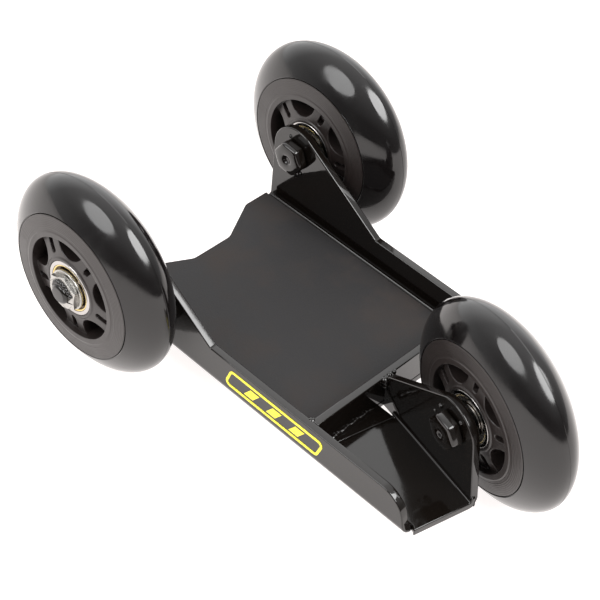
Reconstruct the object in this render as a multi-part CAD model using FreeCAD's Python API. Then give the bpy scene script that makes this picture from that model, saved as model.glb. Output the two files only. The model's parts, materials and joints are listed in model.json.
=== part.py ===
"""Wheel dolly: a folded steel deck with a rubber mat, running on three roller wheels.

Millimetres. +X runs from the rear axle line towards the single front wheel,
+Y is the dolly's right-hand side, +Z is up and the ground is z = 0. The model
is drawn from the rear axle line and then moved along X, so that the written
parts have their origin at the middle of the ground rectangle they cover.
"""
import FreeCAD, Part
import math
import os
from FreeCAD import Base

V = Base.Vector

# ---------------------------------------------------------------- sheet metal
SHEET = 3.2                 # steel sheet thickness
DECK_WIDTH = 90.0           # over the outside of the two side flanges
DECK_UNDERSIDE = 9.3        # ground clearance under the deck floor
FLANGE_TOP = 25.6           # height of the side flanges' plain top edge
INNER_BEND = 1.0            # inside radius of every fold
OUTER_BEND = INNER_BEND + SHEET
NOTCH_DEPTH = 9.6           # relief cut in the middle of the rear edge
NOTCH_FLOOR = 9.4           # half width of the relief at its floor
NOTCH_MOUTH = 27.4          # half width of the relief at its mouth
NOTCH_ROUND = 5.0
WALL_FRONT = 96.5           # front face of the upright cross wall
FLANGE_NOSE_TOP = 130.5     # where the left flange's top edge starts to drop
FLANGE_NOSE = 142.2         # left flange's lowest front point
NOSE_ROUND = 11.0
RIGHT_NOSE_ROUND = 6.0

# ----------------------------------------------------------------------- ears
EAR_RADIUS = 11.8
EAR_SLOPE_FOOT = 45.0       # where a rear ear's slope meets the flange's top edge
AXLE_HEIGHT = 40.0
BOLT_HOLE = 4.15
SEAM_SHARE = 0.3            # tray's edge lies this far into the flange's thickness
WELD_LEG = 1.5              # along the cross wall's foot
WELD_GAP = 0.5              # corner welds stop this far from the mat and the top edge
CORNER_LEG = 2.4            # in the corners where wall, flange and mat meet

# ------------------------------------------------------------------- mat, badge
MAT = 2.2
MAT_HALF_WIDTH = 38.9
MAT_GAP = 0.4               # mat's margin at the rear edge and the cross wall
MAT_CORNER = 3.0
BADGE_THICKNESS = 0.15
BADGE_LINE = 1.1
BADGE_BACK, BADGE_FRONT = 53.0, 100.0
BADGE_LOW, BADGE_HIGH = 14.6, 23.0
BADGE_LEAN = 0.35           # run of the slanted ends for each millimetre of height
BADGE_ROUND = 2.2
BAR_FIRST, BAR_STEP, BAR_WIDTH = 10.3, 11.3, 4.5

# --------------------------------------------------------------------- wheels
WHEEL_RADIUS = 40.0
TREAD_CURVE = 0.083         # drop of the tread per square millimetre from its centre
CORE_RADIUS = 29.2
CORE_SIDE = 11.2            # half width of the core where the tyre starts
SEAT_DEPTH = 2.0            # the tyre's seat lies this far under the core's edge
SEAT_EDGE = 2.5             # and starts this far in from the core's side
LIP_SIDE = 12.2             # half width at the core's raised lip
LIP_OUTER = 23.1
WELL_RADIUS = 20.5          # opening of the dished spoke well
HUB_RADIUS = 12.4
HUB_FACE = 12.0            # half width over the hub and its two bearings
SEAT_BORE = 9.0             # bore of the core between its bearing seats
WEB_FOOT = 11.5             # half width of the spokes where they meet the hub
SPOKES = 5
WINDOW_RADIUS = 7.0
WINDOW_CENTRE = 20.3
SPOKE_SIDE_OUT = 9.9        # half width of the spokes at the well's wall
SLOT_NEAR, SLOT_FAR = 13.9, 20.4       # ends of the slot in each spoke
SLOT_WIDTH = 2.3
SLOT_FLOOR = 7.3
SLOT_RIB = (15.4, 16.9, 9.4)           # low rib across the slot: start, end, top
REAR_TRACK_HALF = 60.5      # rear wheel mid-planes from the centre line
SIDE_GAP = 3.5              # collar length between ear and bearing

# ------------------------------------------------------------- 608 bearing set
BEARING_WIDTH = 7.0
BEARING_OUTER = 11.0
BEARING_BORE = 4.0
BEARING_MID = 8.5           # bearing centre from the wheel's mid-plane
OUTER_RACE_BORE = 9.4
INNER_RACE_OUTER = 6.0
PITCH_RADIUS = 7.5
BALL_RADIUS = 1.98
GROOVE_RADIUS = 2.03
BALLS = 7
SHIELD = 0.3
SHIELD_BORE = 6.3
SHIELD_RECESS = 0.2
CAGE_INNER, CAGE_OUTER = 6.6, 8.4
CAGE_BACK, CAGE_FRONT = -2.6, 0.5

# ------------------------------------------------------------------ fasteners
SHANK = 3.96                # axle bolt shank radius, a slip fit in the races
HEX = 13.0                  # across flats of head and nut
HEAD = 5.3
HEAD_DIMPLE = 3.0           # radius of the ball that presses the head's dimple
DIMPLE_DEPTH = 0.8
CHAMFER, CHAMFER_WIDTH = 0.45, 1.0   # corners turned off head and nut: height, width
END_CHAMFER = 0.9
NUT = 2.2
WASHER = 1.2
WASHER_RADIUS = 8.0
BOLT_END = 17.3             # bolt tip from the wheel's mid-plane
COLLAR_RADIUS = 8.0
COLLAR_STEP = 0.7
COLLAR_SEAT = 5.75

# ------------------------------------------------- front wheel and its bracket
FRONT_X, FRONT_Y = 138.6, 1.1
FRONT_TOE = -12.8           # degrees about +Z
FRONT_CAMBER = 4.3          # degrees, right-hand end of the axle up
TRAY_FRONT = 14.7           # tray's front edge ahead of the axle, along the ear
TRAY_BACK = -30.6           # tray's back edge behind the axle, along the ear
EAR_BACK_TOP = (-38.4, -12.2)
CORNER_LUMPS = ((2.3, 1.7, 0.1), (5.1, 1.4, -0.3), (2.5, 1.5, 3.1))  # drop, radius, outward

os.makedirs("parts", exist_ok=True)


def box(x0, x1, y0, y1, z0, z1):
    return Part.makeBox(x1 - x0, y1 - y0, z1 - z0, V(x0, y0, z0))


def prism(points, direction):
    """A flat polygon pushed along a direction."""
    wire = Part.makePolygon(points + [points[0]])
    return Part.Face(wire).extrude(direction)


def tube(outer, inner, low, high):
    """A ring about local Z, from one height to another."""
    ring = Part.makeCylinder(outer, high - low, V(0, 0, low))
    return ring.cut(Part.makeCylinder(inner, high - low + 2, V(0, 0, low - 1)))


def turned(profile):
    """A closed (radius, height) outline revolved about local Z."""
    points = [V(r, 0, z) for r, z in profile]
    face = Part.Face(Part.makePolygon(points + [points[0]]))
    return face.revolve(V(0, 0, 0), V(0, 0, 1), 360)


def polar(angle_deg, radius, height=0.0):
    a = math.radians(angle_deg)
    return V(radius * math.cos(a), radius * math.sin(a), height)


def hexagon(across_flats, low, high):
    corner = across_flats / math.sqrt(3)
    points = [polar(60 * k + 30, corner, low) for k in range(6)]
    return prism(points, V(0, 0, high - low))


def chamfered_hexagon(low, high, top, bottom):
    """Hexagon of spanner size HEX with its corners turned off at one or both ends."""
    corner = HEX / math.sqrt(3) + 0.01
    profile = [(0, low), (corner - (CHAMFER_WIDTH if bottom else 0), low),
               (corner, low + (CHAMFER if bottom else 0)),
               (corner, high - (CHAMFER if top else 0)),
               (corner - (CHAMFER_WIDTH if top else 0), high), (0, high)]
    return hexagon(HEX, low, high).common(turned(profile))

# ------------------------------------------------------------ shared geometry
HALF = DECK_WIDTH / 2
FLOOR_TOP = DECK_UNDERSIDE + SHEET
BEND_LINE = HALF - OUTER_BEND              # where the flat floor ends and a fold starts
BELOW = DECK_UNDERSIDE - 1                 # a level safely under the sheet
DECK_BACK = -EAR_RADIUS                    # floor and ears end on one line at the rear

# The front wheel's own frame: forward along the ear, up its face, and along the axle.
TOE = math.radians(FRONT_TOE)
CAMBER = math.radians(FRONT_CAMBER)
FORWARD = V(math.cos(TOE), math.sin(TOE), 0)
ACROSS = V(-math.sin(TOE), math.cos(TOE), 0)
AXLE = ACROSS * math.cos(CAMBER) + V(0, 0, math.sin(CAMBER))
UP = FORWARD.cross(AXLE)
# Height of the tilted wheel's centre that leaves its tread touching z = 0.
LOW_SIDE = math.tan(CAMBER) / (2 * TREAD_CURVE)
FRONT_Z = ((WHEEL_RADIUS - TREAD_CURVE * LOW_SIDE ** 2) * math.cos(CAMBER)
           + LOW_SIDE * math.sin(CAMBER))
FRONT = V(FRONT_X, FRONT_Y, FRONT_Z)
EAR_FACE = -(HUB_FACE + SIDE_GAP)          # ear's wheel-side face, along the axle
EAR_INNER = EAR_FACE - SHEET               # ear's other face, under the bolt's head


def front_point(along, up, axle):
    return FRONT + FORWARD * along + UP * up + AXLE * axle


def floor_point(along, across, height):
    """A point on a level plane, measured along and across the front ear."""
    return V(FRONT_X, FRONT_Y, height) + FORWARD * along + ACROSS * across


def tangent_point(foot_a, foot_b, side):
    """Where a line from a foot point touches a circle of the ear's radius."""
    away = math.hypot(foot_a, foot_b)
    turn = math.atan2(foot_b, foot_a) + side * math.acos(EAR_RADIUS / away)
    return EAR_RADIUS * math.cos(turn), EAR_RADIUS * math.sin(turn)


# ---------------------------------------------------------------- the folded pan
def side_outline(front_top, front_foot, nose_round):
    """Side view of one flange with its ear, as a face in the XZ plane."""
    foot = (EAR_SLOPE_FOOT, FLANGE_TOP)
    touch = tangent_point(foot[0], foot[1] - AXLE_HEIGHT, 1)
    rear = V(-EAR_RADIUS, 0, AXLE_HEIGHT)
    crown = V(0, 0, AXLE_HEIGHT + EAR_RADIUS)
    slope = V(touch[0], 0, AXLE_HEIGHT + touch[1])
    foot = V(foot[0], 0, foot[1])
    corner = V(front_top, 0, FLANGE_TOP)
    toe = V(front_foot, 0, BELOW)
    nose = corner_arc(foot, corner, toe, nose_round)
    heel = V(DECK_BACK, 0, BELOW)
    edges = [Part.Arc(rear, crown, slope).toShape(), Part.makeLine(slope, foot),
             Part.makeLine(foot, nose[0]), nose[1], Part.makeLine(nose[2], toe),
             Part.makeLine(toe, heel), Part.makeLine(heel, rear)]
    return Part.Face(Part.Wire(edges))


def corner_arc(before, corner, after, radius):
    """Start, arc and end of a rounded corner between two straight runs."""
    one = (before - corner).normalize()
    two = (after - corner).normalize()
    half = one.getAngle(two) / 2
    reach = radius / math.tan(half)
    middle = corner + (one + two).normalize() * (radius / math.sin(half) - radius)
    start, end = corner + one * reach, corner + two * reach
    return start, Part.Arc(start, middle, end).toShape(), end


def rounded_outline(points, radii):
    """A closed flat wire through corner points, each with its own radius or none."""
    count = len(points)
    edges = []
    runs = []
    for k, corner in enumerate(points):
        if radii[k]:
            start, arc, end = corner_arc(points[k - 1], corner, points[(k + 1) % count], radii[k])
            runs.append((start, end))
            edges.append(arc)
        else:
            runs.append((corner, corner))
    for k in range(count):
        start, end = runs[k][1], runs[(k + 1) % count][0]
        edges.append(Part.makeLine(start, end))
    return Part.Wire(Part.__sortEdges__(edges))


def rear_edge(inset):
    """The relieved rear edge, left to right, set in from the sheet's own edge."""
    back = DECK_BACK + inset
    floor = back + NOTCH_DEPTH
    return [(back, -NOTCH_MOUTH, NOTCH_ROUND), (floor, -NOTCH_FLOOR, NOTCH_ROUND),
            (floor, NOTCH_FLOOR, NOTCH_ROUND), (back, NOTCH_MOUTH, NOTCH_ROUND)]


def floor_outline(height):
    """Plan view of the pan's flat floor, as a wire at one height."""
    seam_left = seam_point(-BEND_LINE, height)
    seam_right = floor_point(TRAY_BACK, ear_line(EAR_INNER - 1, FLOOR_TOP), height)
    corners = [(DECK_BACK, -BEND_LINE, 0)] + rear_edge(0) + [(DECK_BACK, BEND_LINE, 0)]
    corners += [(WALL_FRONT, BEND_LINE, 0), (WALL_FRONT, seam_right.y, 0)]
    corners += [(seam_right.x, seam_right.y, 0), (seam_left.x, -BEND_LINE, 0)]
    points = [V(x, y, height) for x, y, _ in corners]
    return rounded_outline(points, [r for _, _, r in corners])


def seam_point(y, height):
    """Where the tray's back edge crosses a lengthwise line."""
    start = floor_point(TRAY_BACK, 0, height)
    return start + ACROSS * ((y - start.y) / ACROSS.y)


def channel():
    """Endless folded channel that both flanges and the floor are cut from."""
    back, front = DECK_BACK - 5, FLANGE_NOSE + 5
    outer = box(back, front, -HALF, HALF, DECK_UNDERSIDE, AXLE_HEIGHT + 20)
    hollow = box(back - 5, front + 5, -HALF + SHEET, HALF - SHEET, FLOOR_TOP, AXLE_HEIGHT + 25)
    outer = outer.makeFillet(OUTER_BEND, lengthwise(outer, DECK_UNDERSIDE))
    hollow = hollow.makeFillet(INNER_BEND, lengthwise(hollow, FLOOR_TOP))
    return outer.cut(hollow)


def lengthwise(solid, height):
    """The straight edges along X that lie at one height."""
    found = []
    for edge in solid.Edges:
        middle = edge.CenterOfMass
        ends = edge.Vertexes
        if abs(middle.z - height) < 0.01 and abs(ends[0].X - ends[1].X) > 20:
            found.append(edge)
    return found


def deck_pan():
    """Floor, two flanges and two rear ears, folded from one sheet."""
    folded = channel()
    reach = OUTER_BEND + 1
    left = side_outline(FLANGE_NOSE_TOP + NOSE_ROUND * 0.7, FLANGE_NOSE, NOSE_ROUND)
    left.translate(V(0, -HALF - 1, 0))
    right = side_outline(WALL_FRONT, WALL_FRONT, RIGHT_NOSE_ROUND)
    right.translate(V(0, BEND_LINE, 0))
    floor = Part.Face(floor_outline(BELOW)).extrude(V(0, 0, SHEET + 2))
    pieces = [folded.common(left.extrude(V(0, reach, 0))),
              folded.common(right.extrude(V(0, reach, 0))),
              folded.common(floor)]
    pan = pieces[0].fuse(pieces[1:]).removeSplitter()
    for side in (-1, 1):
        start = V(0, side * (HALF - SHEET - 2), AXLE_HEIGHT)
        pan = pan.cut(Part.makeCylinder(BOLT_HOLE, SHEET + 4, start, V(0, side, 0)))
    return pan


# -------------------------------------------------------- front bracket and wall
def ear_line(axle, height):
    """Distance across at which a face of the leaning ear meets a level plane."""
    fall = (FRONT_Z + axle * math.sin(CAMBER) - height) / math.cos(CAMBER)
    return axle * math.cos(CAMBER) + fall * math.sin(CAMBER)


def bracket_strip():
    """Tray floor and leaning ear as one folded strip, longer than it is needed."""
    wide, tall = -DECK_WIDTH, EAR_RADIUS + 3
    start = 1.5 * TRAY_BACK
    crown = [front_point(start, tall, axle) for axle in (EAR_FACE, EAR_INNER)]
    section = [floor_point(start, wide, DECK_UNDERSIDE),
               floor_point(start, ear_line(EAR_FACE, DECK_UNDERSIDE), DECK_UNDERSIDE),
               crown[0], crown[1],
               floor_point(start, ear_line(EAR_INNER, FLOOR_TOP), FLOOR_TOP),
               floor_point(start, wide, FLOOR_TOP)]
    strip = prism(section, FORWARD * (TRAY_FRONT + 5 - start))
    for corner, radius in ((section[1], OUTER_BEND), (section[4], INNER_BEND)):
        folds = []
        for edge in strip.Edges:
            near = edge.CenterOfMass - corner
            if edge.Length > 20 and (near - FORWARD * near.dot(FORWARD)).Length < 0.1:
                folds.append(edge)
        strip = strip.makeFillet(radius, folds)
    return strip


def front_ear_outline():
    """Side view of the front ear, as a face square to the front axle."""
    low = BELOW - FRONT_Z - 1
    back_touch = tangent_point(*EAR_BACK_TOP, -1)
    front_touch = tangent_point(TRAY_FRONT, low, 1)
    deep = EAR_INNER - 1

    def at(pair):
        return front_point(pair[0], pair[1], deep)
    crown = at((0, EAR_RADIUS))
    edges = [Part.Arc(at(back_touch), crown, at(front_touch)).toShape(),
             Part.makeLine(at(front_touch), at((TRAY_FRONT, low))),
             Part.makeLine(at((TRAY_FRONT, low)), at((TRAY_BACK, low))),
             Part.makeLine(at((TRAY_BACK, low)), at(EAR_BACK_TOP)),
             Part.makeLine(at(EAR_BACK_TOP), at(back_touch))]
    return Part.Face(Part.Wire(edges))


def front_bracket():
    """Tray floor with the front wheel's leaning ear, folded from one sheet."""
    strip = bracket_strip()
    ear = strip.common(front_ear_outline().extrude(AXLE * (SHEET + 6)))
    inner = ear_line(EAR_INNER, FLOOR_TOP) + 0.5 * SHEET
    corners = [seam_point(-BEND_LINE, BELOW), floor_point(TRAY_BACK, inner, BELOW),
               floor_point(TRAY_FRONT, inner, BELOW), tray_corner(BELOW)]
    corners.append(V(FLANGE_NOSE, -BEND_LINE, BELOW))
    tray = strip.common(prism(corners, V(0, 0, SHEET + 3)))
    bracket = ear.fuse(tray).removeSplitter()
    hole = Part.makeCylinder(BOLT_HOLE, SHEET + 4, front_point(0, 0, EAR_INNER - 2), AXLE)
    return bracket.cut(hole)


def tray_corner(height):
    """The tray's left front corner, just past the left flange's nose."""
    start = floor_point(TRAY_FRONT, 0, height)
    return start + ACROSS * ((-HALF + SHEET - SEAM_SHARE - start.y) / ACROSS.y)


def stop_wall():
    """Upright cross wall that stops the load and ties both flanges together."""
    back = WALL_FRONT - SHEET
    side = HALF - SHEET
    wall = box(back, WALL_FRONT, -side, side, FLOOR_TOP, FLANGE_TOP)
    corners = []
    for edge in wall.Edges:
        middle = edge.CenterOfMass
        if abs(middle.z - FLOOR_TOP) < 0.01 and abs(abs(middle.y) - side) < 0.01:
            corners.append(edge)
    return wall.makeChamfer(INNER_BEND * 0.6 + 0.5, corners)


def weld_beads():
    """Welds: along the wall's foot, up its two ends, and lumps at the front ear's corner."""
    side = HALF - SHEET
    clear = 2 * WELD_LEG
    start = V(WALL_FRONT, clear - side, FLOOR_TOP)
    foot_end = floor_point(TRAY_BACK, ear_line(EAR_INNER, FLOOR_TOP), FLOOR_TOP)
    section = [start, start + V(WELD_LEG, 0, 0), start + V(0, 0, WELD_LEG)]
    beads = [prism(section, V(0, foot_end.y - start.y - 2, 0))]
    for end in (-1, 1):
        root = V(WALL_FRONT - SHEET, end * side, FLOOR_TOP + MAT + WELD_GAP)
        section = [root, root + V(-CORNER_LEG, 0, 0), root + V(0, -end * CORNER_LEG, 0)]
        beads.append(prism(section, V(0, 0, FLANGE_TOP - root.z - WELD_GAP)))
    corner = front_point(EAR_BACK_TOP[0], EAR_BACK_TOP[1], EAR_INNER)
    for drop, radius, out in CORNER_LUMPS:
        beads.append(Part.makeSphere(radius, corner - V(0, 0, drop) + AXLE * out))
    return Part.makeCompound(beads)


# ------------------------------------------------------------------ mat and badge
def deck_mat():
    """Rubber mat on the pan's floor, cut to the same relieved rear edge."""
    front = WALL_FRONT - SHEET - MAT_GAP
    corners = [(DECK_BACK + MAT_GAP, -MAT_HALF_WIDTH, 0)] + rear_edge(MAT_GAP)
    corners += [(DECK_BACK + MAT_GAP, MAT_HALF_WIDTH, 0)]
    corners += [(front, MAT_HALF_WIDTH, MAT_CORNER), (front, -MAT_HALF_WIDTH, MAT_CORNER)]
    points = [V(x, y, FLOOR_TOP) for x, y, _ in corners]
    wire = rounded_outline(points, [r for _, _, r in corners])
    return Part.Face(wire).extrude(V(0, 0, MAT))


def side_badge():
    """Plain sticker on the left flange: a slanted rounded frame with three bars."""
    low, high = BADGE_LOW, BADGE_HIGH
    lean = (high - low) * BADGE_LEAN
    face = -HALF

    def frame(grow):
        top, base = high + grow, low - grow
        shift = lean * grow / (high - low)
        points = [V(BADGE_BACK - grow - shift, face, base), V(BADGE_FRONT + grow - shift, face, base),
                  V(BADGE_FRONT + grow + lean + shift, face, top),
                  V(BADGE_BACK - grow + lean + shift, face, top)]
        return Part.Face(rounded_outline(points, [BADGE_ROUND + grow] * 4))
    out = V(0, -BADGE_THICKNESS, 0)
    ring = frame(0).extrude(out).cut(frame(-BADGE_LINE).extrude(out))
    solids = [ring]
    rise = (high - low) - 4 * BADGE_LINE
    for k in range(3):
        left = BADGE_BACK + BAR_FIRST + BAR_STEP * k
        base = low + 2 * BADGE_LINE
        right = left + BAR_WIDTH
        points = [V(left, face, base), V(right, face, base),
                  V(right + lean, face, base + rise), V(left + lean, face, base + rise)]
        solids.append(prism(points, out))
    return Part.makeCompound(solids)


# -------------------------------------------------- wheel pieces, about local +Z
# Local z = 0 is the wheel's mid-plane; the ear is at negative z, the nut at positive z.
def tyre():
    """Cast tread with a domed section, bonded to the core's rim."""
    steps = 14
    side = CORE_SIDE
    points = []
    for k in range(steps + 1):
        z = -side + 2 * side * k / steps
        points.append(V(WHEEL_RADIUS - TREAD_CURVE * z * z, 0, z))
    curve = Part.BSplineCurve()
    curve.interpolate(points)
    seat = CORE_RADIUS - SEAT_DEPTH
    inner = [points[-1], V(CORE_RADIUS, 0, side), V(seat, 0, side - SEAT_EDGE),
             V(seat, 0, SEAT_EDGE - side), V(CORE_RADIUS, 0, -side), points[0]]
    edges = [curve.toShape()]
    for start, end in zip(inner, inner[1:]):
        if (end - start).Length > 1e-3:
            edges.append(Part.makeLine(start, end))
    face = Part.Face(Part.Wire(edges))
    return face.revolve(V(0, 0, 0), V(0, 0, 1), 360)


def core():
    """Moulded wheel core: rim, dished web with windows, hub boss and bearing seats."""
    seat = CORE_RADIUS - SEAT_DEPTH
    side, well = SPOKE_SIDE_OUT, WELL_RADIUS
    half = [(seat, CORE_SIDE - SEAT_EDGE), (CORE_RADIUS, CORE_SIDE), (LIP_OUTER, LIP_SIDE - 0.25),
            (LIP_OUTER - 0.4, LIP_SIDE), (well, LIP_SIDE), (well, side),
            (HUB_RADIUS, WEB_FOOT), (HUB_RADIUS - 0.3, HUB_FACE), (BEARING_OUTER, HUB_FACE),
            (BEARING_OUTER, HUB_FACE - BEARING_WIDTH), (SEAT_BORE, HUB_FACE - BEARING_WIDTH)]
    mirrored = [(r, -z) for r, z in reversed(half)]
    body = turned(half + mirrored)
    tools = []
    for k in range(SPOKES):
        middle = 360.0 / SPOKES * (k + 0.5)
        window = Part.makeCylinder(WINDOW_RADIUS, 40, polar(middle, WINDOW_CENTRE, -20))
        limit = Part.makeCylinder(WELL_RADIUS, 40, V(0, 0, -20))
        tools.append(window.common(limit))
        spoke = 360.0 / SPOKES * k
        for face in (-1, 1):
            tools.append(spoke_slot(spoke, face))
    return body.cut(tools)


def spoke_slot(angle, face):
    """A narrow pocket along a spoke, round at both ends, with a low rib across it."""
    radius = SLOT_WIDTH / 2
    near, far = SLOT_NEAR + radius, SLOT_FAR - radius
    height = HUB_FACE + 2 - SLOT_FLOOR
    ends = [Part.makeCylinder(radius, height, V(r, 0, SLOT_FLOOR)) for r in (near, far)]
    middle = Part.makeBox(far - near, SLOT_WIDTH, height, V(near, -radius, SLOT_FLOOR))
    rib = box(SLOT_RIB[0], SLOT_RIB[1], -radius - 1, radius + 1, SLOT_FLOOR - 1, SLOT_RIB[2])
    slot = middle.fuse(ends).removeSplitter().cut(rib)
    if face < 0:
        slot.rotate(V(0, 0, 0), V(1, 0, 0), 180)
    slot.rotate(V(0, 0, 0), V(0, 0, 1), angle)
    return slot


def both_bearings(make):
    """One bearing piece twice, in the seats on both sides of the core."""
    shapes = []
    for side in (-1, 1):
        shape = make()
        shape.translate(V(0, 0, side * BEARING_MID))
        shapes.append(shape)
    return Part.makeCompound(shapes)


def groove():
    return Part.makeTorus(PITCH_RADIUS, GROOVE_RADIUS)


def outer_race():
    half = BEARING_WIDTH / 2
    ring = turned([(OUTER_RACE_BORE, -half), (BEARING_OUTER - 0.4, -half), (BEARING_OUTER, -half + 0.4),
                   (BEARING_OUTER, half - 0.4), (BEARING_OUTER - 0.4, half), (OUTER_RACE_BORE, half)])
    return ring.cut(groove())


def inner_race():
    half = BEARING_WIDTH / 2
    ring = turned([(BEARING_BORE + 0.3, -half), (INNER_RACE_OUTER, -half), (INNER_RACE_OUTER, half),
                   (BEARING_BORE + 0.3, half), (BEARING_BORE, half - 0.3), (BEARING_BORE, -half + 0.3)])
    return ring.cut(groove())


def shields():
    low = BEARING_WIDTH / 2 - SHIELD_RECESS - SHIELD
    plates = [tube(OUTER_RACE_BORE, SHIELD_BORE, low, low + SHIELD),
              tube(OUTER_RACE_BORE, SHIELD_BORE, -low - SHIELD, -low)]
    return Part.makeCompound(plates)


def balls():
    return Part.makeCompound([Part.makeSphere(BALL_RADIUS, polar(360.0 / BALLS * k, PITCH_RADIUS))
                              for k in range(BALLS)])


def cage():
    ring = tube(CAGE_OUTER, CAGE_INNER, CAGE_BACK, CAGE_FRONT)
    pockets = [Part.makeSphere(GROOVE_RADIUS, polar(360.0 / BALLS * k, PITCH_RADIUS)) for k in range(BALLS)]
    return ring.cut(pockets)


def axle_bolt():
    """Hexagon-headed bolt, its head on the ear's inner face."""
    under = EAR_INNER
    head = chamfered_hexagon(under - HEAD, under, False, True)
    dimple = Part.makeSphere(HEAD_DIMPLE, V(0, 0, under - HEAD + DIMPLE_DEPTH - HEAD_DIMPLE))
    shank = turned([(0, under - 0.5), (SHANK, under - 0.5), (SHANK, BOLT_END - END_CHAMFER),
                    (SHANK - END_CHAMFER, BOLT_END), (0, BOLT_END)])
    return head.cut(dimple).fuse(shank).removeSplitter()


def collar():
    """Spacer between the ear and the bearing's inner race."""
    step = -HUB_FACE - COLLAR_STEP
    return turned([(BOLT_HOLE, EAR_FACE), (COLLAR_RADIUS - 0.4, EAR_FACE), (COLLAR_RADIUS, EAR_FACE + 0.4),
                   (COLLAR_RADIUS, step - 0.4), (COLLAR_RADIUS - 0.4, step), (COLLAR_SEAT, step),
                   (COLLAR_SEAT, -HUB_FACE), (BOLT_HOLE, -HUB_FACE)])


def inner_spacer():
    """Tube that keeps the two inner races apart."""
    half = HUB_FACE - BEARING_WIDTH
    return tube(INNER_RACE_OUTER - 0.2, BOLT_HOLE, -half, half)


def washer():
    return tube(WASHER_RADIUS, BOLT_HOLE, HUB_FACE, HUB_FACE + WASHER)


def nut():
    low = HUB_FACE + WASHER
    hexed = chamfered_hexagon(low, low + NUT, True, True)
    return hexed.cut(Part.makeCylinder(SHANK, NUT + 2, V(0, 0, low - 1)))


WHEEL_PIECES = {
    "tyre": tyre(), "core": core(), "outer_races": both_bearings(outer_race),
    "bearing_shields": both_bearings(shields), "bearing_balls": both_bearings(balls),
    "ball_cages": both_bearings(cage), "inner_races": both_bearings(inner_race),
    "inner_spacer": inner_spacer(), "axle_bolt": axle_bolt(), "collar": collar(),
    "washer": washer(), "nut": nut()}


def placement(centre, outward, spoke_angle):
    """Turns a wheel piece to its axle, with its first spoke at an angle about it."""
    upright = V(0, 0, 1) - outward * outward.z
    upright.normalize()
    level = upright.cross(outward)
    matrix = FreeCAD.Matrix(level.x, upright.x, outward.x, centre.x,
                            level.y, upright.y, outward.y, centre.y,
                            level.z, upright.z, outward.z, centre.z,
                            0, 0, 0, 1)
    spin = FreeCAD.Rotation(V(0, 0, 1), spoke_angle)
    return FreeCAD.Placement(matrix).multiply(FreeCAD.Placement(V(0, 0, 0), spin))


WHEELS = {
    "left": placement(V(0, -REAR_TRACK_HALF, AXLE_HEIGHT), V(0, -1, 0), 57.0),
    "right": placement(V(0, REAR_TRACK_HALF, AXLE_HEIGHT), V(0, 1, 0), 34.0),
    "front": placement(FRONT, AXLE, 91.0)}


# ----------------------------------------------------------------------- writing
parts = {"deck_pan": deck_pan(), "front_bracket": front_bracket(), "stop_wall": stop_wall(),
         "weld_beads": weld_beads(), "deck_mat": deck_mat(), "side_badge": side_badge()}
for wheel, place in WHEELS.items():
    for name, shape in WHEEL_PIECES.items():
        piece = shape.copy()
        piece.Placement = place
        parts[wheel + "_" + name] = piece

front_reach = parts["front_tyre"].optimalBoundingBox(False).XMax
middle = (front_reach - WHEEL_RADIUS) / 2
for name, shape in parts.items():
    shape.translate(V(-middle, 0, 0))
    if not shape.isValid():
        print("not valid:", name)
    shape.exportStep("parts/" + name + ".step")
print("moved back by", round(middle, 4), "front wheel height", round(FRONT_Z, 4))
print(len(parts), "nodes written")
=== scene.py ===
"""Looks for the wheel dolly: a folded steel deck with a rubber mat on three roller wheels.

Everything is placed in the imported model's frame. Sizes are written in millimetres and
MM turns them to metres. The sheet metal, the mat, the wheel cores and the nuts are
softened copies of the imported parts. The tyres, bearings, washers, collars, bolts, welds
and paint drops are modelled here.
"""
import json
import math

import bpy
from mathutils import Matrix, Vector


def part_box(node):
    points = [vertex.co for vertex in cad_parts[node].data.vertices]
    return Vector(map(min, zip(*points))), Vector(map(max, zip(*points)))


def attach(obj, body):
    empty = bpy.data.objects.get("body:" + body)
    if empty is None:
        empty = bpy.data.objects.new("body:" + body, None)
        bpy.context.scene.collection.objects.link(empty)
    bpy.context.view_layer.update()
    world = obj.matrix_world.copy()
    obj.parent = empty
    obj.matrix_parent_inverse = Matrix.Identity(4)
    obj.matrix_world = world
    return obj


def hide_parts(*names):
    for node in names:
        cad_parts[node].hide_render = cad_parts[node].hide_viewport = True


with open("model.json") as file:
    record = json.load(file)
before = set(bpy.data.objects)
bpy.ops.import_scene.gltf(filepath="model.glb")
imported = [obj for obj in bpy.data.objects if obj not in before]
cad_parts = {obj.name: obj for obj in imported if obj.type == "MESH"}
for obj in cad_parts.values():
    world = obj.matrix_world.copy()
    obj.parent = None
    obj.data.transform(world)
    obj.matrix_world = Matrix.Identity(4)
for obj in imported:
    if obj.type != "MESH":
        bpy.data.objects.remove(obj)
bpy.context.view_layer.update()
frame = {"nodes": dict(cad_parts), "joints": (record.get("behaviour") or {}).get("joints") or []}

MM = 0.001
NODES = frame["nodes"]
JOINTS = {joint["name"]: joint for joint in frame["joints"]}
FULL_TURN = 2 * math.pi

# ------------------------------------------------------------ wheel sizes, millimetres
WHEEL_RADIUS = 40.0
TREAD_CURVE = 0.083         # drop of the tread per square millimetre from its middle
CORE_RADIUS = 29.2
CORE_SIDE = 11.2            # half width where tyre and core meet
LIP_SIDE, LIP_OUTER = 12.2, 23.1
TYRE_SEAT = CORE_RADIUS - 2
HUB_FACE = 12.0             # half width over the hub and both bearings
BEARING_MID, BEARING_HALF = 8.5, 3.5
BEARING_OUTER = 11.0
RACE_BORE = 9.4
PITCH_RADIUS, GROOVE_RADIUS = 7.5, 2.03
SHIELD_BORE = 6.3
COLLAR_RADIUS, COLLAR_LENGTH, COLLAR_STEP, COLLAR_SEAT = 8.0, 3.5, 0.7, 5.75
BOLT_HOLE = 4.15
WASHER_RADIUS, WASHER = 8.0, 1.2
NUT = 2.2
SHEET = 3.2
HEX, HEAD = 13.0, 5.3
SHANK, BOLT_END = 3.96, 17.3
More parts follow.
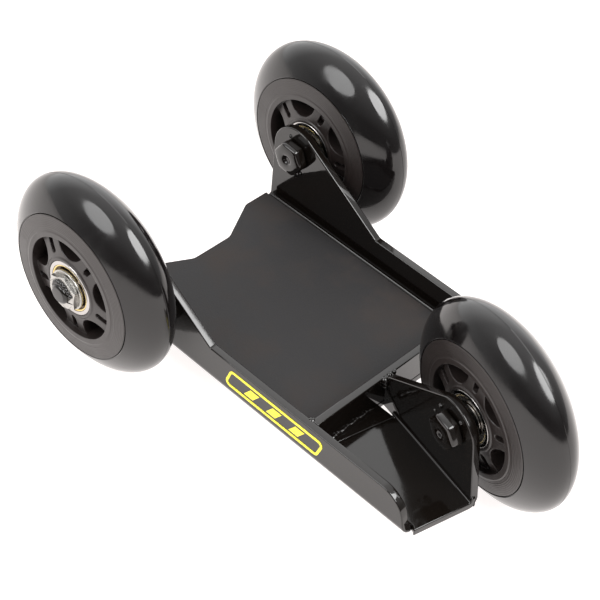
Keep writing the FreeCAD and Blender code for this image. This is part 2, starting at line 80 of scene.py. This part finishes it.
SPOKE_ANGLE = {"left": 57.0, "right": 34.0, "front": 91.0}


# ---------------------------------------------------------------------- camera, lights
def look_from(eye, azimuth, elevation, roll, lens):
    """A camera at a place, turned round the object, tipped down and rolled, in degrees."""
    data = bpy.data.cameras.new("camera")
    data.lens = lens
    data.sensor_width = 36
    camera = bpy.data.objects.new("camera", data)
    bpy.context.scene.collection.objects.link(camera)
    turn = Matrix.Rotation(math.radians(azimuth), 4, "Z")
    tip = Matrix.Rotation(math.radians(90 - elevation), 4, "X")
    lean = Matrix.Rotation(math.radians(roll), 4, "Z")
    camera.matrix_world = Matrix.Translation(eye) @ turn @ tip @ lean
    bpy.context.scene.camera = camera


def compass(bearing, elevation):
    """The direction of a bearing, clockwise from +Y, and an elevation, in degrees."""
    turn, rise = math.radians(bearing), math.radians(elevation)
    level = math.cos(rise)
    return Vector((math.sin(turn) * level, math.cos(turn) * level, math.sin(rise)))


def softbox(name, bearing, elevation, wide, high, radiance):
    """An elliptical light, so many degrees wide and high as the dolly sees it."""
    distance = 1.5
    data = bpy.data.lights.new(name, "AREA")
    data.shape = "ELLIPSE"
    data.size = 2 * distance * math.tan(math.radians(wide / 2))
    data.size_y = 2 * distance * math.tan(math.radians(high / 2))
    area = math.pi / 4 * data.size * data.size_y
    data.energy = math.pi * area * radiance
    lamp = bpy.data.objects.new(name, data)
    bpy.context.scene.collection.objects.link(lamp)
    away = compass(bearing, elevation)
    aim = away.to_track_quat("Z", "Y").to_matrix().to_4x4()
    lamp.matrix_world = Matrix.Translation(away * distance) @ aim


def surroundings():
    """A bright sweep behind the dolly, a grey ceiling and a dim room on the other side."""
    world = bpy.data.worlds.new("studio")
    bpy.context.scene.world = world
    world.use_nodes = True
    tree = world.node_tree
    way = add(tree, "ShaderNodeTexCoord").outputs["Generated"]
    sweep = add(tree, "ShaderNodeVectorMath", {0: way, 1: compass(308, 0)},
                operation="DOT_PRODUCT").outputs["Value"]
    share = spread(tree, sweep, -1.0, 1.0, 0.0, 1.0)
    glow = add(tree, "ShaderNodeValToRGB", {"Fac": share})
    greys(glow, ((0.0, 0.05), (0.28, 0.08), (0.5, 0.2), (0.72, 0.32), (0.86, 0.72),
                 (1.0, 0.95)))
    height = add(tree, "ShaderNodeSeparateXYZ", {"Vector": way}).outputs["Z"]
    ceiling = spread(tree, height, 0.25, 0.95, 0.0, 0.8)
    level = add(tree, "ShaderNodeMath", {0: glow.outputs["Color"], 1: 2.8, 2: ceiling},
                operation="MULTIPLY_ADD").outputs["Value"]
    seen = add(tree, "ShaderNodeLightPath").outputs["Is Camera Ray"]
    shown = add(tree, "ShaderNodeMix", {"Factor": seen, 2: level, 3: 1.0}, data_type="FLOAT")
    tree.links.new(shown.outputs[0], tree.nodes["Background"].inputs["Color"])


def studio():
    """Camera, two softboxes, the surroundings and a pale floor."""
    look_from((0.278339, -0.347605, 0.475456), 40.899, 44.623, 5.784, 103.573)
    softbox("side_softbox", 201, 43, 36, 36, 5.4)
    softbox("front_softbox", 81, 55, 50, 36, 12.0)
    surroundings()
    clear_selection()
    bpy.ops.mesh.primitive_plane_add(size=8)
    floor = bpy.context.object
    floor.name = "floor"
    floor.data.materials.append(light_table())
    bpy.context.scene.view_settings.view_transform = "Standard"


# --------------------------------------------------------------------- material helpers
def colour(text):
    """An sRGB hex colour as linear RGBA."""
    values = [int(text[k:k + 2], 16) / 255 for k in (1, 3, 5)]
    linear = [v / 12.92 if v <= 0.04045 else ((v + 0.055) / 1.055) ** 2.4 for v in values]
    return (*linear, 1.0)


def add(tree, kind, inputs=None, **settings):
    """A shader node with its settings; each input takes a value or another node's output."""
    made = tree.nodes.new(kind)
    for key, value in settings.items():
        setattr(made, key, value)
    for key, value in (inputs or {}).items():
        if isinstance(value, bpy.types.NodeSocket):
            tree.links.new(value, made.inputs[key])
        else:
            made.inputs[key].default_value = value
    return made


def greys(ramp, pairs):
    """Sets a ramp's stops from (position, linear grey) pairs."""
    elements = ramp.color_ramp.elements
    while len(elements) < len(pairs):
        elements.new(0.5)
    for element, (position, level) in zip(elements, pairs):
        element.position = position
        element.color = (level, level, level, 1)


def start(name, **constants):
    """A material and its shader, with the constants that hold all over the surface."""
    material = bpy.data.materials.new(name)
    material.use_nodes = True
    tree = material.node_tree
    shader = tree.nodes["Principled BSDF"]
    for key, value in constants.items():
        shader.inputs[key.replace("_", " ")].default_value = value
    return material, tree, shader


def size(millimetres):
    """A noise scale whose features are about this size."""
    return 1 / (millimetres * MM)


def noise(tree, coordinates, millimetres, detail=2.0, rough=0.5):
    """A cloudy pattern with features of a real size."""
    made = add(tree, "ShaderNodeTexNoise",
               {"Vector": coordinates, "Scale": size(millimetres), "Detail": detail,
                "Roughness": rough})
    return made.outputs["Fac"]


def spread(tree, value, low, high, to_low, to_high):
    """Maps a stretch of a pattern's value to a range."""
    made = add(tree, "ShaderNodeMapRange",
               {"Value": value, "From Min": low, "From Max": high, "To Min": to_low,
                "To Max": to_high})
    return made.outputs["Result"]


def blend(tree, share, one, two):
    """A mix of two colours, each a hex text or another node's output."""
    made = add(tree, "ShaderNodeMix", {"Factor": share}, data_type="RGBA")
    for socket, value in ((6, one), (7, two)):
        if isinstance(value, str):
            made.inputs[socket].default_value = colour(value)
        else:
            tree.links.new(value, made.inputs[socket])
    return made.outputs[2]


def relief(tree, shader, height, depth_mm):
    """A bump whose full height is a real depth."""
    made = add(tree, "ShaderNodeBump",
               {"Height": height, "Distance": depth_mm * MM, "Strength": 1.0})
    tree.links.new(made.outputs["Normal"], shader.inputs["Normal"])


def wheel_space(tree, wheel):
    """Coordinates about a wheel's own axle: x, y across it and z along it."""
    place = add(tree, "ShaderNodeTexCoord")
    turned = wheel_matrix(wheel)
    return add(tree, "ShaderNodeMapping",
               {"Vector": place.outputs["Object"], "Location": turned.translation,
                "Rotation": turned.to_euler()}, vector_type="TEXTURE").outputs["Vector"]


def radius_of(tree, coordinates):
    """Distance from the axle."""
    flat = add(tree, "ShaderNodeVectorMath", {0: coordinates, 1: (1, 1, 0)},
               operation="MULTIPLY")
    return add(tree, "ShaderNodeVectorMath", {0: flat.outputs["Vector"]},
               operation="LENGTH").outputs["Value"]


def rings(tree, coordinates, pitch_mm):
    """Fine rings about the axle, as a cutting tool or a mould leaves them."""
    far = radius_of(tree, coordinates)
    turns = add(tree, "ShaderNodeMath", {0: far, 1: FULL_TURN / (pitch_mm * MM)},
                operation="MULTIPLY")
    return add(tree, "ShaderNodeMath", {0: turns.outputs["Value"]},
               operation="SINE").outputs["Value"]


# ---------------------------------------------------------------------------- materials
def light_table():
    """Opal floor board lit from below: pale, matt, and hardly darker in a shadow."""
    material, tree, shader = start("opal_light_table", Roughness=0.9, Specular_IOR_Level=0.1,
                                   Emission_Strength=0.95)
    shader.inputs["Emission Color"].default_value = colour("#fffaf8")
    place = add(tree, "ShaderNodeTexCoord").outputs["Object"]
    share = noise(tree, place, 300)
    tree.links.new(blend(tree, share, "#9c9896", "#a39f9d"), shader.inputs["Base Color"])
    return material


def gloss_enamel(name="gloss_black_enamel", peel_mm=3.5, peel_depth=0.012):
    """Sprayed black enamel on steel: one glossy skin, faint orange peel, a little dust."""
    material, tree, shader = start(name, IOR=1.5)
    place = add(tree, "ShaderNodeTexCoord").outputs["Object"]
    dust = spread(tree, noise(tree, place, 0.9, 3.0, 0.7), 0.64, 0.76, 0.0, 0.5)
    tree.links.new(blend(tree, dust, "#0d0a08", "#2a2725"), shader.inputs["Base Color"])
    smear = noise(tree, place, 22, 3.0)
    rough = spread(tree, smear, 0.35, 0.7, 0.04, 0.12)
    tree.links.new(rough, shader.inputs["Roughness"])
    relief(tree, shader, noise(tree, place, peel_mm, 1.0), peel_depth)
    return material


def rubber_mat():
    """Calendered rubber sheet: matt dark grey, fine grain, faint brown handling marks."""
    material, tree, shader = start("calendered_rubber_sheet", Specular_IOR_Level=0.3, IOR=1.5)
    place = add(tree, "ShaderNodeTexCoord").outputs["Object"]
    cloud = spread(tree, noise(tree, place, 24, 5.0, 0.6), 0.48, 0.72, 0.0, 1.0)
    tone = blend(tree, cloud, "#161516", "#241e1b")
    fleck = spread(tree, noise(tree, place, 0.7, 2.0), 0.3, 0.7, 0.0, 0.5)
    tree.links.new(blend(tree, fleck, tone, "#1c1a1a"), shader.inputs["Base Color"])
    tree.links.new(spread(tree, cloud, 0.0, 1.0, 0.68, 0.8), shader.inputs["Roughness"])
    relief(tree, shader, noise(tree, place, 0.6, 3.0), 0.05)
    return material


def vinyl_sticker():
    """Printed yellow vinyl: flat ink under a thin satin film."""
    material, tree, shader = start("yellow_vinyl_sticker", Roughness=0.34, Specular_IOR_Level=0.4)
    place = add(tree, "ShaderNodeTexCoord").outputs["Object"]
    share = noise(tree, place, 1.2, 3.0)
    tree.links.new(blend(tree, share, "#f2e61e", "#fff04a"), shader.inputs["Base Color"])
    relief(tree, shader, share, 0.01)
    return material


def cast_urethane(wheel):
    """Cast polyurethane: wet-looking black skin, soft waviness, faint smudges and dust."""
    material, tree, shader = start("cast_black_urethane_" + wheel, IOR=1.5)
    place = wheel_space(tree, wheel)
    smudge = noise(tree, place, 15, 5.0, 0.62)
    rough = spread(tree, smudge, 0.4, 0.7, 0.06, 0.22)
    tree.links.new(rough, shader.inputs["Roughness"])
    dust = spread(tree, noise(tree, place, 0.8, 4.0, 0.7), 0.62, 0.78, 0.0, 0.45)
    tree.links.new(blend(tree, dust, "#0c0a0a", "#2c2a2a"), shader.inputs["Base Color"])
    relief(tree, shader, noise(tree, place, 9, 2.0), 0.03)
    return material


def satin_nylon(wheel):
    """Injection-moulded nylon: warm charcoal, satin, with a fine moulded grain."""
    material, tree, shader = start("moulded_satin_nylon_" + wheel, IOR=1.5)
    place = wheel_space(tree, wheel)
    cloud = noise(tree, place, 7, 4.0)
    tree.links.new(blend(tree, cloud, "#1d1817", "#241e1c"), shader.inputs["Base Color"])
    tree.links.new(spread(tree, cloud, 0.3, 0.7, 0.3, 0.4), shader.inputs["Roughness"])
    relief(tree, shader, noise(tree, place, 0.5, 2.0), 0.01)
    return material


def shield_plate(wheel):
    """Yellow zinc pressing: bright gold at its rolled rim, and painted dark brown inside it, a
    painted shade and painted dark reflection in the sunk dish.
    """
    material, tree, shader = start("yellow_zinc_painted_shade_" + wheel, Metallic=1.0, Roughness=0.2)
    place = wheel_space(tree, wheel)
    far = radius_of(tree, place)
    # Painted shade: inside the rim the dish is coloured dark brown to stand for the dark reflection
    # and shadow seen in it.
    rim = spread(tree, far, 8.55 * MM, 8.7 * MM, 0.0, 1.0)
    painted_shade_dish = blend(tree, noise(tree, place, 2.5, 3.0), "#3a2a14", "#4a371c")
    tree.links.new(blend(tree, rim, painted_shade_dish, "#d9c486"), shader.inputs["Base Color"])
    relief(tree, shader, noise(tree, place, 1.5, 2.0), 0.01)
    return material


def turned_metal(name, wheel, light, dark, rough, pitch_mm):
    """Bright metal turned on a lathe: rings about the axle and slight stains."""
    material, tree, shader = start(name + "_" + wheel, Metallic=1.0)
    place = wheel_space(tree, wheel)
    stain = noise(tree, place, 1.6, 3.0)
    tree.links.new(blend(tree, stain, light, dark), shader.inputs["Base Color"])
    tree.links.new(spread(tree, stain, 0.3, 0.7, rough, rough * 1.7), shader.inputs["Roughness"])
    relief(tree, shader, rings(tree, place, pitch_mm), 0.0006)
    return material


# --------------------------------------------------------------------- modelling helpers
def axle_axes(wheel):
    """A wheel's centre in metres, its outward axis, and upright across that axis."""
    joint = JOINTS[wheel + "_wheel_spin"]
    out = Vector(joint["axis"]).normalized()
    upright = (Vector((0, 0, 1)) - out * out.z).normalized()
    return Vector(joint["pos_m"]), out, upright


def wheel_matrix(wheel):
    """A wheel's own frame at rest: z along the axle to the nut, first spoke on x."""
    centre, out, upright = axle_axes(wheel)
    axes = Matrix((upright.cross(out), upright, out)).transposed().to_4x4()
    spoke = Matrix.Rotation(math.radians(SPOKE_ANGLE[wheel]), 4, "Z")
    return Matrix.Translation(centre) @ axes @ spoke


def clear_selection():
    """Deselects everything, because an operator acts on all that is selected."""
    bpy.ops.object.select_all(action="DESELECT")


def only(piece):
    """Makes a piece the one selected and active object."""
    clear_selection()
    piece.select_set(True)
    bpy.context.view_layer.objects.active = piece


def rounded(corners, steps=4):
    """An outline from (across, along, rounding) corners, its round corners as short curves."""
    outline = []
    for k, (across, along, cut) in enumerate(corners):
        here = Vector((across, along))
        if not cut:
            outline.append(here)
            continue
        before = Vector(corners[k - 1][:2])
        after = Vector(corners[(k + 1) % len(corners)][:2])
        one = here + (before - here).normalized() * cut
        two = here + (after - here).normalized() * cut
        for step in range(steps + 1):
            t = step / steps
            outline.append(one * (1 - t) ** 2 + here * 2 * t * (1 - t) + two * t * t)
    return outline


def spun(name, outline, steps=96):
    """A ring about local Z, spun from a closed (radius, height) outline in millimetres."""
    clear_selection()
    bpy.ops.mesh.primitive_circle_add(vertices=len(outline), radius=MM)
    ring = bpy.context.object
    ring.name = name
    for vertex, (radius, height) in zip(ring.data.vertices, outline):
        vertex.co = (radius * MM, 0, height * MM)
    bpy.ops.object.mode_set(mode="EDIT")
    bpy.ops.mesh.select_all(action="SELECT")
    bpy.ops.mesh.spin(steps=steps, angle=FULL_TURN, center=(0, 0, 0), axis=(0, 0, 1))
    bpy.ops.mesh.select_all(action="SELECT")
    bpy.ops.mesh.remove_doubles(threshold=0.001 * MM)
    bpy.ops.mesh.normals_make_consistent(inside=False)
    bpy.ops.object.mode_set(mode="OBJECT")
    bpy.ops.object.shade_smooth_by_angle(angle=math.radians(32))
    return ring


def joined(pieces, name):
    """Several objects as one mesh."""
    clear_selection()
    for piece in pieces:
        piece.select_set(True)
    bpy.context.view_layer.objects.active = pieces[0]
    bpy.ops.object.join()
    pieces[0].name = name
    return pieces[0]


def apply_modifier(piece, kind, **settings):
    """Adds a modifier with its settings and applies it."""
    only(piece)
    modifier = piece.modifiers.new(kind.lower(), kind)
    for key, value in settings.items():
        setattr(modifier, key, value)
    bpy.ops.object.modifier_apply(modifier=modifier.name)


def softened_copy(node, name, width_mm, back_to=None, segments=3):
    """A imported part's mesh as a new piece with its triangles merged and its edges rounded."""
    piece = bpy.data.objects.new(name, NODES[node].data.copy())
    bpy.context.scene.collection.objects.link(piece)
    piece.data.materials.clear()
    if back_to is not None:
        piece.data.transform(back_to.inverted())
    only(piece)
    bpy.ops.object.mode_set(mode="EDIT")
    bpy.ops.mesh.select_all(action="SELECT")
    bpy.ops.mesh.customdata_custom_splitnormals_clear()
    bpy.ops.mesh.remove_doubles(threshold=0.002 * MM)
    bpy.ops.mesh.dissolve_limited(angle_limit=math.radians(0.7), delimit=set())
    bpy.ops.object.mode_set(mode="OBJECT")
    apply_modifier(piece, "BEVEL", width=width_mm * MM, segments=segments, limit_method="ANGLE",
                   angle_limit=math.radians(30), use_clamp_overlap=False,
                   miter_outer="MITER_ARC")
    only(piece)
    bpy.ops.object.shade_smooth_by_angle(angle=math.radians(40))
    apply_modifier(piece, "WEIGHTED_NORMAL", keep_sharp=True)
    return piece


def lumps(name, blobs, voxel_mm=0.3):
    """Overlapping (place, radius) balls in millimetres, melted into one skin."""
    balls = []
    for place, radius in blobs:
        clear_selection()
        bpy.ops.mesh.primitive_ico_sphere_add(subdivisions=3, radius=radius * MM)
        ball = bpy.context.object
        ball.data.transform(Matrix.Translation(Vector(place) * MM))
        balls.append(ball)
    skin = joined(balls, name)
    apply_modifier(skin, "REMESH", mode="VOXEL", voxel_size=voxel_mm * MM)
    apply_modifier(skin, "SMOOTH", factor=0.5, iterations=3)
    only(skin)
    bpy.ops.object.shade_smooth()
    return skin


def placed(template, name, matrix):
    """A template's mesh copied to its place."""
    mesh = template.data.copy()
    mesh.transform(matrix)
    piece = bpy.data.objects.new(name, mesh)
    bpy.context.scene.collection.objects.link(piece)
    return piece


def dress(piece, material, body, slot, *nodes):
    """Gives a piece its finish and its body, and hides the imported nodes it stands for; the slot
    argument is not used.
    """
    piece.data.materials.clear()
    piece.data.materials.append(material)
    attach(piece, body)
    if nodes:
        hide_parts(*nodes)


# ------------------------------------------------------------- wheel pieces, modelled once
def tyre():
    """Domed tread with a fine parting groove round its middle and soft shoulders."""
    groove_depth, groove_half = 0.09, 0.16
    shoulder_lift, seam_gap, seam_depth = 0.04, 0.1, 0.25
    seat_side = CORE_SIDE - 2.5
    steps = 22
    outline = []
    for k in range(-steps, steps + 1):
        across = CORE_SIDE * math.sin(0.5 * math.pi * k / steps)
        outline.append((WHEEL_RADIUS - TREAD_CURVE * across ** 2, across))
    middle = [(WHEEL_RADIUS, -groove_half), (WHEEL_RADIUS - groove_depth, -groove_half / 3),
              (WHEEL_RADIUS - groove_depth, groove_half / 3), (WHEEL_RADIUS, groove_half)]
    outline[steps:steps + 1] = middle
    shoulder, side = outline[-1]
    outline[-1] = (shoulder + shoulder_lift, side)
    outline[0] = (shoulder + shoulder_lift, -side)
    outline += [(CORE_RADIUS - seam_gap, CORE_SIDE - seam_depth), (TYRE_SEAT, seat_side),
                (TYRE_SEAT, -seat_side), (CORE_RADIUS - seam_gap, seam_depth - CORE_SIDE)]
    return spun("tyre_template", outline, 144)


def rim_band():
    """Fine moulded rings on both side faces of the rim, less than 0.1 mm proud."""
    inner, outer = LIP_OUTER + 0.9, CORE_RADIUS - 0.4
    ring_count, ring_steps = 7, 4
    proud, lift, buried, lip_step = 0.06, 0.01, 0.6, 0.25
    slope = (CORE_SIDE - LIP_SIDE + lip_step) / (CORE_RADIUS - LIP_OUTER)
    count = ring_count * ring_steps
    bands = []
    for side in (-1, 1):
        outline = []
        for k in range(count + 1):
            radius = inner + (outer - inner) * k / count
            ripple = proud * (0.5 - 0.5 * math.cos(FULL_TURN * k / ring_steps))
            face = LIP_SIDE - lip_step + slope * (radius - LIP_OUTER)
            outline.append((radius, side * (face + ripple + lift)))
        outline += [(outer, side * (CORE_SIDE - buried)), (inner, side * (CORE_SIDE - buried))]
        bands.append(spun("band", outline, 144))
    return joined(bands, "rim_band_template")


def race_outline(side):
    """Section of an outer race: round corners outside and the ball groove inside."""
    inner_round, outer_round, groove_steps = 0.2, 0.55, 6
    corners = [(RACE_BORE, -BEARING_HALF, inner_round), (BEARING_OUTER, -BEARING_HALF, outer_round),
               (BEARING_OUTER, BEARING_HALF, outer_round), (RACE_BORE, BEARING_HALF, inner_round)]
    reach = math.sqrt(GROOVE_RADIUS ** 2 - (RACE_BORE - PITCH_RADIUS) ** 2)
    for k in range(groove_steps + 1):
        height = reach * (1 - 2 * k / groove_steps)
        corners.append((PITCH_RADIUS + math.sqrt(GROOVE_RADIUS ** 2 - height ** 2), height, 0))
    return [(point[0], point[1] + side * BEARING_MID) for point in rounded(corners)]


def outer_races():
    """Outer rings of both bearings."""
    return joined([spun("race", race_outline(side)) for side in (-1, 1)], "race_template")


def bearing_shields():
    """Four pressed shields: a narrow rolled rim clipped in the race, then a sunk dish."""
    plates = []
    rim_top, rim_foot, thickness = 3.38, 2.98, 0.28
    dish = rim_top - 0.8
    corners = [(RACE_BORE - 0.02, rim_foot, 0.08), (RACE_BORE - 0.1, rim_top, 0.2),
               (8.8, rim_top - 0.05, 0.25), (8.5, dish, 0.15), (SHIELD_BORE, dish, 0.05),
               (SHIELD_BORE, dish - thickness, 0.05), (8.6, dish - thickness, 0.15),
               (9.2, dish, 0.1)]
    section = rounded(corners, 3)
    for side in (-1, 1):
        for face in (-1, 1):
            outline = [(p[0], side * BEARING_MID + face * p[1]) for p in section]
            plates.append(spun("shield", outline))
    return joined(plates, "shield_template")


def washer():
    """Flat washer with turned edges."""
    low, high = HUB_FACE, HUB_FACE + WASHER
    corners = [(BOLT_HOLE, low, 0.1), (WASHER_RADIUS, low, 0.2), (WASHER_RADIUS, high, 0.35),
               (BOLT_HOLE, high, 0.15)]
    return spun("washer_template", rounded(corners))


def collar():
    """Spacer with a seat for the inner race and soft turned edges."""
    ear = -(HUB_FACE + COLLAR_LENGTH)
    step = -(HUB_FACE + COLLAR_STEP)
    corners = [(BOLT_HOLE, ear, 0.1), (COLLAR_RADIUS, ear, 0.45), (COLLAR_RADIUS, step, 0.45),
               (COLLAR_SEAT, step, 0.1), (COLLAR_SEAT, -HUB_FACE, 0.15), (BOLT_HOLE, -HUB_FACE, 0.1)]
    return spun("collar_template", rounded(corners))


def bolt():
    """Hexagon bolt, its head softened by thick paint, with a dimple in the middle."""
    top = HUB_FACE + COLLAR_LENGTH + SHEET
    clear_selection()
    bpy.ops.mesh.primitive_cylinder_add(vertices=6, radius=HEX / math.sqrt(3) * MM,
                                        depth=HEAD * MM,
                                        location=(0, 0, -(top + HEAD / 2) * MM))
    head = bpy.context.object
    bpy.ops.object.transform_apply(location=True)
    apply_modifier(head, "BEVEL", width=1.3 * MM, segments=2, limit_method="ANGLE",
                   angle_limit=math.radians(35))
    bpy.ops.object.mode_set(mode="EDIT")
    bpy.ops.mesh.select_all(action="DESELECT")
    bpy.ops.object.mode_set(mode="OBJECT")
    for face in head.data.polygons:
        face.select = face.normal.z < -0.99
    bpy.ops.object.mode_set(mode="EDIT")
    # Each inset and its rise: the crown in two steps, then the dimple in two.
    for inset, rise in ((0.6, 0.1), (2.2, 0.1), (0.8, -0.7), (0.7, -0.6)):
        bpy.ops.mesh.inset(thickness=inset * MM, depth=rise * MM)
    bpy.ops.object.mode_set(mode="OBJECT")
    apply_modifier(head, "SUBSURF", levels=2, render_levels=2)
    only(head)
    bpy.ops.object.shade_smooth()
    chamfer, chamfer_length = 0.9, 0.7
    corners = [(0, -top, 0), (SHANK, -top, 0), (SHANK, BOLT_END - chamfer_length, 0.4),
               (SHANK - chamfer, BOLT_END, 0.3), (0, BOLT_END, 0)]
    shank = spun("shank", rounded(corners))
    return joined([head, shank], "bolt_template")


def paint_drops(name, face, drops, voxel_mm):
    """Melted drops on a face across the axle, from (angle, distance out, radius) rows."""
    blobs = []
    for angle, far, radius in drops:
        turn = math.radians(angle)
        blobs.append(((far * math.cos(turn), far * math.sin(turn), face), radius))
    return lumps(name, blobs, voxel_mm)


def end_paint():
    """Locking paint that ran round the foot of the bolt's end, on the nut's face."""
    drops = ((-38, 5.2, 0.9), (-22, 4.5, 0.9), (-5, 4.2, 1.0), (12, 4.3, 1.1), (30, 4.4, 1.2),
             (48, 4.5, 1.3), (66, 4.4, 1.2), (84, 4.4, 1.1), (102, 4.2, 1.0), (122, 4.1, 0.9))
    return paint_drops("end_paint_template", HUB_FACE + WASHER + NUT, drops, 0.18)


def head_paint():
    """Paint runs and spatter on the ear round the bolt's head."""
    drops = ((215, 8.3, 1.1), (228, 8.9, 1.3), (243, 8.4, 0.9), (300, 8.2, 1.0), (30, 8.0, 0.8),
             (262, 10.0, 0.7))
    return paint_drops("head_paint_template", -(HUB_FACE + COLLAR_LENGTH + SHEET), drops, 0.25)


# ------------------------------------------------------------------------------- building
def build_wheels():
    """Every wheel piece modelled once in its own frame and copied to the three wheels."""
    home = wheel_matrix("left")
    made = {
        "tyre": tyre(), "core": softened_copy("left_core", "core_template", 0.35, home, 2),
        "rim_band": rim_band(), "outer_races": outer_races(),
        "bearing_shields": bearing_shields(), "washer": washer(), "collar": collar(),
        "nut": softened_copy("left_nut", "nut_template", 0.08, home, 2),
        "axle_bolt": bolt(),
        "end_paint": end_paint(), "head_paint": head_paint()}
    enamel = bpy.data.materials["gloss_black_enamel"]
    thick = gloss_enamel("brushed_touch_up_enamel", 1.2, 0.05)
    for wheel in SPOKE_ANGLE:
        nylon = satin_nylon(wheel)
        chrome = turned_metal("ground_bearing_steel", wheel, "#b9b6b4", "#a8a5a3", 0.12, 0.6)
        gold = shield_plate(wheel)
        bright = turned_metal("bright_zinc_plate", wheel, "#b7b5b1", "#a3a29e", 0.22, 0.6)
        black = turned_metal("black_anodised_alloy", wheel, "#232221", "#181716", 0.16, 0.6)
        turning = wheel + "_wheel"
        looks = {"tyre": (cast_urethane(wheel), "urethane_tyre", turning),
                 "core": (nylon, "core_plastic", turning),
                 "rim_band": (nylon, "core_plastic", turning),
                 "outer_races": (chrome, "bearing_steel", turning),
                 "bearing_shields": (gold, "yellow_zinc", turning),
                 "washer": (bright, "bright_zinc", "chassis"),
                 "nut": (bright, "bright_zinc", "chassis"),
                 "collar": (black, "black_collar", "chassis"),
                 "axle_bolt": (enamel, "black_bolt", "chassis"),
                 "end_paint": (thick, "black_paint", "chassis"),
                 "head_paint": (thick, "black_paint", "chassis")}
        for name, (material, slot, body) in looks.items():
            node = wheel + "_" + name
            piece = placed(made[name], wheel + "_shown_" + name, wheel_matrix(wheel))
            dress(piece, material, body, slot, *([node] if node in NODES else []))
        for name, material in (("inner_races", chrome), ("bearing_balls", chrome),
                               ("ball_cages", bright), ("inner_spacer", bright)):
            node = NODES[wheel + "_" + name]
            node.data.materials.clear()
            node.data.materials.append(material)
    for template in made.values():
        bpy.data.objects.remove(template)


def weld_seams():
    """Hand-laid beads: rippled seams at the cross wall and lumps at the leaning ear."""
    low, high = (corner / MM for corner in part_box("stop_wall"))
    centre, out, upright = axle_axes("front")
    forward = out.cross(upright)
    ear_corner = centre / MM - forward * 38.4 - upright * 12.2 - out * 18.7
    blobs = []
    foot_start, foot_end, foot_pitch = low.y + 3, ear_corner.y - 4, 0.7
    for k in range(int((foot_end - foot_start) / foot_pitch)):
        wander = 0.18 * math.sin(k * 0.9)
        radius = 1.1 + 0.06 * math.sin(k * 2.7)
        blobs.append(((high.x + 0.3 + wander, foot_start + foot_pitch * k, low.z + 0.2), radius))
    end_count, end_pitch, end_foot, end_sunk = 10, 0.9, 3.9, 0.3
    for end, side in ((-1, low.y), (1, high.y)):
        for k in range(end_count):
            radius = 1.5 + 0.12 * math.sin(k * 2.3 + end)
            blobs.append(((low.x - 0.2, side - end * end_sunk, low.z + end_foot + end_pitch * k),
                          radius))
    # Lumps at the ear's back corner: how far down, back and outwards, and the radius.
    for drop, back, push, radius in ((1.6, 0.3, -0.6, 1.6), (3.9, 0.2, -0.5, 1.35),
                                     (2.4, -0.6, 3.4, 1.4), (0.4, 0.6, 1.6, 1.2),
                                     (1.0, 1.4, 4.2, 1.0)):
        blobs.append((ear_corner - upright * drop - forward * back + out * push, radius))
    piece = lumps("laid_welds", blobs)
    dress(piece, bpy.data.materials["gloss_black_enamel"], "chassis", "black_paint", "weld_beads")


def corner_infill():
    """Plate welded between the leaning ear's back edge and the cross wall."""
    centre, out, upright = axle_axes("front")
    centre, forward = centre / MM, out.cross(upright)
    wall_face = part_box("stop_wall")[1].x / MM - 0.2
    inner, outer = -18.55, -15.65           # the ear's two faces, along the axle
    top, base = -13.2, -29.2                # the plate's ends, along upright
    ear_top, ear_base = -37.6, -30.2        # the ear's back edge at those ends, along forward

    def at_wall(up):
        spot = centre + upright * up + out * inner
        return spot + forward * ((wall_face - spot.x) / forward.x)

    corners = (centre + forward * ear_top + upright * top + out * inner,
               centre + forward * ear_base + upright * base + out * inner,
               at_wall(base), at_wall(top))
    clear_selection()
    bpy.ops.mesh.primitive_plane_add(size=MM)
    plate = bpy.context.object
    plate.name = "corner_infill"
    for vertex, spot in zip(plate.data.polygons[0].vertices, corners):
        plate.data.vertices[vertex].co = spot * MM
    only(plate)
    bpy.ops.object.mode_set(mode="EDIT")
    bpy.ops.mesh.select_all(action="SELECT")
    bpy.ops.mesh.extrude_region_move(
        TRANSFORM_OT_translate={"value": out * (outer - inner) * MM})
    bpy.ops.mesh.select_all(action="SELECT")
    bpy.ops.mesh.normals_make_consistent(inside=False)
    bpy.ops.object.mode_set(mode="OBJECT")
    apply_modifier(plate, "BEVEL", width=0.3 * MM, segments=2)
    dress(plate, bpy.data.materials["gloss_black_enamel"], "chassis", "black_paint")


def build_chassis():
    """Painted steelwork, mat and sticker."""
    enamel = gloss_enamel()
    paint_round, cut_round = 0.5, 0.35
    for node in ("deck_pan", "front_bracket", "stop_wall"):
        piece = softened_copy(node, "painted_" + node, paint_round)
        dress(piece, enamel, "chassis", "black_paint", node)
    mat = softened_copy("deck_mat", "cut_rubber_mat", cut_round)
    dress(mat, rubber_mat(), "chassis", "rubber_mat", "deck_mat")
    badge = NODES["side_badge"]
    badge.data.materials.clear()
    badge.data.materials.append(vinyl_sticker())
    weld_seams()
    corner_infill()


studio()
build_chassis()
build_wheels()
